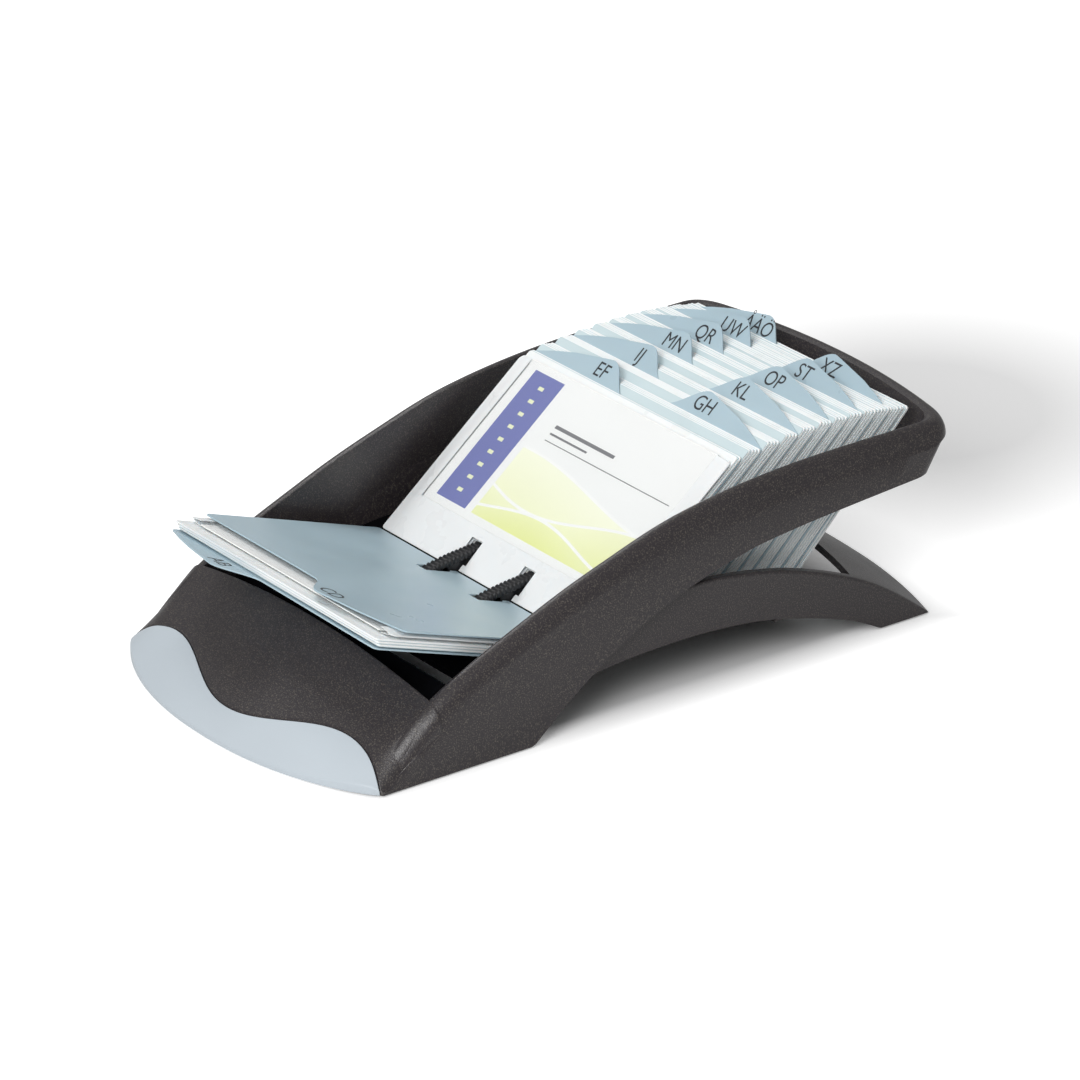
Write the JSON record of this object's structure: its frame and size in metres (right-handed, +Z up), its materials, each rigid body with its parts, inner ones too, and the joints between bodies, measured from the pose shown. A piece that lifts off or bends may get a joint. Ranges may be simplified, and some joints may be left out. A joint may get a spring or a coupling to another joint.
{
  "type": "desktop flip file for business cards",
  "caption": "Long curved tray crossing an arched stand, with lettered dividers and clear card pockets hooked on two ribbed rails, so that they flip over from a leaning stack to the front.",
  "frame": {"origin": "middle of the footprint, on the table", "axes": "+X to the right seen from the nose, +Y from the nose to the rear, +Z up"},
  "size_m": [0.131, 0.242, 0.0736],
  "materials": {
    "body_plastic": "fine grained charcoal moulding",
    "grip_plastic": "smooth pale blue-grey moulding",
    "rail_plastic": "satin black",
    "divider_film": "frosted pale blue sheet",
    "pocket_film": "clear embossed film",
    "card_board": "coated board with a printed face",
    "foot_rubber": "matt",
    "screw_steel": "zinc plated"
  },
  "bodies": {
    "stand": {"tray_frame": "body_plastic", "nose_grip": "grip_plastic", "base_arch": "body_plastic", "rail_carrier": "rail_plastic", "rail_left": "rail_plastic", "rail_right": "rail_plastic", "foot_front_left": "foot_rubber", "foot_front_right": "foot_rubber", "foot_rear_left": "foot_rubber", "foot_rear_right": "foot_rubber", "frame_screw_left": "screw_steel", "frame_screw_right": "screw_steel"},
    "front_pocket_body": {"front_pocket": "pocket_film"},
    "card_front_body": {"card_front": "card_board"},
    "card_back_body": {"card_back": "card_board"},
    "pocket_pack_cd_body": {"pocket_pack_cd": "pocket_film"},
    "divider_ef_body": {"divider_ef": "divider_film"},
    "pocket_pack_ef_body": {"pocket_pack_ef": "pocket_film"},
    "divider_gh_body": {"divider_gh": "divider_film"},
    "pocket_pack_gh_body": {"pocket_pack_gh": "pocket_film"},
    "divider_ij_body": {"divider_ij": "divider_film"},
    "pocket_pack_ij_body": {"pocket_pack_ij": "pocket_film"},
    "divider_kl_body": {"divider_kl": "divider_film"},
    "pocket_pack_kl_body": {"pocket_pack_kl": "pocket_film"},
    "divider_mn_body": {"divider_mn": "divider_film"},
    "pocket_pack_mn_body": {"pocket_pack_mn": "pocket_film"},
    "divider_op_body": {"divider_op": "divider_film"},
    "pocket_pack_op_body": {"pocket_pack_op": "pocket_film"},
    "divider_qr_body": {"divider_qr": "divider_film"},
    "pocket_pack_qr_body": {"pocket_pack_qr": "pocket_film"},
    "divider_st_body": {"divider_st": "divider_film"},
    "pocket_pack_st_body": {"pocket_pack_st": "pocket_film"},
    "divider_uw_body": {"divider_uw": "divider_film"},
    "pocket_pack_uw_body": {"pocket_pack_uw": "pocket_film"},
    "divider_xz_body": {"divider_xz": "divider_film"},
    "pocket_pack_xz_body": {"pocket_pack_xz": "pocket_film"},
    "divider_aao_body": {"divider_aao": "divider_film"},
    "pocket_pack_aao_body": {"pocket_pack_aao": "pocket_film"},
    "divider_cd_body": {"divider_cd": "divider_film"},
    "pile_pocket_body": {"pile_pocket": "pocket_film"},
    "pile_card_body": {"pile_card": "card_board"},
    "pocket_pack_ab_body": {"pocket_pack_ab": "pocket_film"},
    "divider_ab_body": {"divider_ab": "divider_film"}
  },
  "joints": [
    {"name": "front_pocket_flip", "type": "hinge", "parent": "stand", "child": "front_pocket_body", "pos_m": [0, -0.01631, 0.02178], "axis": [1, 0, 0], "range_deg": [0, 119]},
    {"name": "card_front_lift", "type": "slide", "parent": "front_pocket_body", "child": "card_front_body", "axis": [0, 0.7727, 0.6347], "range_m": [0, 0.05]},
    {"name": "card_back_lift", "type": "slide", "parent": "front_pocket_body", "child": "card_back_body", "axis": [0, 0.7727, 0.6347], "range_m": [0, 0.05]},
    {"name": "pile_flip_back", "type": "hinge", "parent": "stand", "child": "divider_cd_body", "pos_m": [0, -0.02061, 0.02129], "axis": [1, 0, 0], "range_deg": [-119, 0]},
    {"name": "pile_card_pull", "type": "slide", "parent": "pile_pocket_body", "child": "pile_card_body", "axis": [0, -0.9455, 0.3256], "range_m": [0, 0.05]},
    {"name": "pocket_pack_cd_flip", "type": "hinge", "parent": "stand", "child": "pocket_pack_cd_body", "pos_m": [0, -0.01268, 0.0221], "axis": [1, 0, 0], "range_deg": [0, 116.9]},
    {"name": "divider_ef_flip", "type": "hinge", "parent": "stand", "child": "divider_ef_body", "pos_m": [0, -0.01049, 0.02225], "axis": [1, 0, 0], "range_deg": [0, 116.2]},
    {"name": "pocket_pack_ef_flip", "type": "hinge", "parent": "stand", "child": "pocket_pack_ef_body", "pos_m": [0, -0.00649, 0.02247], "axis": [1, 0, 0], "range_deg": [0, 109.1]},
    {"name": "divider_gh_flip", "type": "hinge", "parent": "stand", "child": "divider_gh_body", "pos_m": [0, -0.0026, 0.02262], "axis": [1, 0, 0], "range_deg": [0, 108.3]},
    {"name": "pocket_pack_gh_flip", "type": "hinge", "parent": "stand", "child": "pocket_pack_gh_body", "pos_m": [0, 0.00121, 0.02272], "axis": [1, 0, 0], "range_deg": [0, 107.6]},
    {"name": "divider_ij_flip", "type": "hinge", "parent": "stand", "child": "divider_ij_body", "pos_m": [0, 0.00496, 0.02279], "axis": [1, 0, 0], "range_deg": [0, 106.7]},
    {"name": "pocket_pack_ij_flip", "type": "hinge", "parent": "stand", "child": "pocket_pack_ij_body", "pos_m": [0, 0.00866, 0.02283], "axis": [1, 0, 0], "range_deg": [0, 105.7]},
    {"name": "divider_kl_flip", "type": "hinge", "parent": "stand", "child": "divider_kl_body", "pos_m": [0, 0.01229, 0.02283], "axis": [1, 0, 0], "range_deg": [0, 103.8]},
    {"name": "pocket_pack_kl_flip", "type": "hinge", "parent": "stand", "child": "pocket_pack_kl_body", "pos_m": [0, 0.01581, 0.02275], "axis": [1, 0, 0], "range_deg": [0, 99.8]},
    {"name": "divider_mn_flip", "type": "hinge", "parent": "stand", "child": "divider_mn_body", "pos_m": [0, 0.01925, 0.02262], "axis": [1, 0, 0], "range_deg": [0, 98.8]},
    {"name": "pocket_pack_mn_flip", "type": "hinge", "parent": "stand", "child": "pocket_pack_mn_body", "pos_m": [0, 0.02262, 0.02243], "axis": [1, 0, 0], "range_deg": [0, 96.2]},
    {"name": "divider_op_flip", "type": "hinge", "parent": "stand", "child": "divider_op_body", "pos_m": [0, 0.02591, 0.02219], "axis": [1, 0, 0], "range_deg": [0, 95.2]},
    {"name": "pocket_pack_op_flip", "type": "hinge", "parent": "stand", "child": "pocket_pack_op_body", "pos_m": [0, 0.02914, 0.02191], "axis": [1, 0, 0], "range_deg": [0, 90.7]},
    {"name": "divider_qr_flip", "type": "hinge", "parent": "stand", "child": "divider_qr_body", "pos_m": [0, 0.03231, 0.02158], "axis": [1, 0, 0], "range_deg": [0, 90]},
    {"name": "pocket_pack_qr_flip", "type": "hinge", "parent": "stand", "child": "pocket_pack_qr_body", "pos_m": [0, 0.03542, 0.02122], "axis": [1, 0, 0], "range_deg": [0, 89.1]},
    {"name": "divider_st_flip", "type": "hinge", "parent": "stand", "child": "divider_st_body", "pos_m": [0, 0.03846, 0.0208], "axis": [1, 0, 0], "range_deg": [0, 86]},
    {"name": "pocket_pack_st_flip", "type": "hinge", "parent": "stand", "child": "pocket_pack_st_body", "pos_m": [0, 0.04141, 0.02031], "axis": [1, 0, 0], "range_deg": [0, 76.9]},
    {"name": "divider_uw_flip", "type": "hinge", "parent": "stand", "child": "divider_uw_body", "pos_m": [0, 0.04428, 0.01975], "axis": [1, 0, 0], "range_deg": [0, 76.2]},
    {"name": "pocket_pack_uw_flip", "type": "hinge", "parent": "stand", "child": "pocket_pack_uw_body", "pos_m": [0, 0.04707, 0.01912], "axis": [1, 0, 0], "range_deg": [0, 75.5]},
    {"name": "divider_xz_flip", "type": "hinge", "parent": "stand", "child": "divider_xz_body", "pos_m": [0, 0.04981, 0.01846], "axis": [1, 0, 0], "range_deg": [0, 74.5]},
    {"name": "pocket_pack_xz_flip", "type": "hinge", "parent": "stand", "child": "pocket_pack_xz_body", "pos_m": [0, 0.05251, 0.01777], "axis": [1, 0, 0], "range_deg": [0, 73.6]},
    {"name": "divider_aao_flip", "type": "hinge", "parent": "stand", "child": "divider_aao_body", "pos_m": [0, 0.0552, 0.01708], "axis": [1, 0, 0], "range_deg": [0, 72.6]},
    {"name": "pocket_pack_aao_flip", "type": "hinge", "parent": "stand", "child": "pocket_pack_aao_body", "pos_m": [0, 0.05679, 0.01666], "axis": [1, 0, 0], "range_deg": [0, 71.9]},
    {"name": "pile_pocket_flip_back", "type": "hinge", "parent": "stand", "child": "pile_pocket_body", "pos_m": [0, -0.02389, 0.02081], "axis": [1, 0, 0], "range_deg": [-117.9, 0]},
    {"name": "pocket_pack_ab_flip_back", "type": "hinge", "parent": "stand", "child": "pocket_pack_ab_body", "pos_m": [0, -0.02881, 0.01986], "axis": [1, 0, 0], "range_deg": [-116.7, 0]},
    {"name": "divider_ab_flip_back", "type": "hinge", "parent": "stand", "child": "divider_ab_body", "pos_m": [0, -0.03197, 0.01912], "axis": [1, 0, 0], "range_deg": [-115.5, 0]}
  ],
  "couplings": [
    {"joint": "pocket_pack_cd_flip", "follows": "front_pocket_flip", "ratio": 0.982},
    {"joint": "divider_ef_flip", "follows": "front_pocket_flip", "ratio": 0.976},
    {"joint": "pocket_pack_ef_flip", "follows": "front_pocket_flip", "ratio": 0.916},
    {"joint": "divider_gh_flip", "follows": "front_pocket_flip", "ratio": 0.91},
    {"joint": "pocket_pack_gh_flip", "follows": "front_pocket_flip", "ratio": 0.904},
    {"joint": "divider_ij_flip", "follows": "front_pocket_flip", "ratio": 0.896},
    {"joint": "pocket_pack_ij_flip", "follows": "front_pocket_flip", "ratio": 0.888},
    {"joint": "divider_kl_flip", "follows": "front_pocket_flip", "ratio": 0.872},
    {"joint": "pocket_pack_kl_flip", "follows": "front_pocket_flip", "ratio": 0.838},
    {"joint": "divider_mn_flip", "follows": "front_pocket_flip", "ratio": 0.83},
    {"joint": "pocket_pack_mn_flip", "follows": "front_pocket_flip", "ratio": 0.808},
    {"joint": "divider_op_flip", "follows": "front_pocket_flip", "ratio": 0.8},
    {"joint": "pocket_pack_op_flip", "follows": "front_pocket_flip", "ratio": 0.762},
    {"joint": "divider_qr_flip", "follows": "front_pocket_flip", "ratio": 0.756},
    {"joint": "pocket_pack_qr_flip", "follows": "front_pocket_flip", "ratio": 0.748},
    {"joint": "divider_st_flip", "follows": "front_pocket_flip", "ratio": 0.722},
    {"joint": "pocket_pack_st_flip", "follows": "front_pocket_flip", "ratio": 0.646},
    {"joint": "divider_uw_flip", "follows": "front_pocket_flip", "ratio": 0.64},
    {"joint": "pocket_pack_uw_flip", "follows": "front_pocket_flip", "ratio": 0.634},
    {"joint": "divider_xz_flip", "follows": "front_pocket_flip", "ratio": 0.626},
    {"joint": "pocket_pack_xz_flip", "follows": "front_pocket_flip", "ratio": 0.618},
    {"joint": "divider_aao_flip", "follows": "front_pocket_flip", "ratio": 0.61},
    {"joint": "pocket_pack_aao_flip", "follows": "front_pocket_flip", "ratio": 0.604},
    {"joint": "pile_pocket_flip_back", "follows": "pile_flip_back", "ratio": 0.99},
    {"joint": "pocket_pack_ab_flip_back", "follows": "pile_flip_back", "ratio": 0.98},
    {"joint": "divider_ab_flip_back", "follows": "pile_flip_back", "ratio": 0.97}
  ]
}
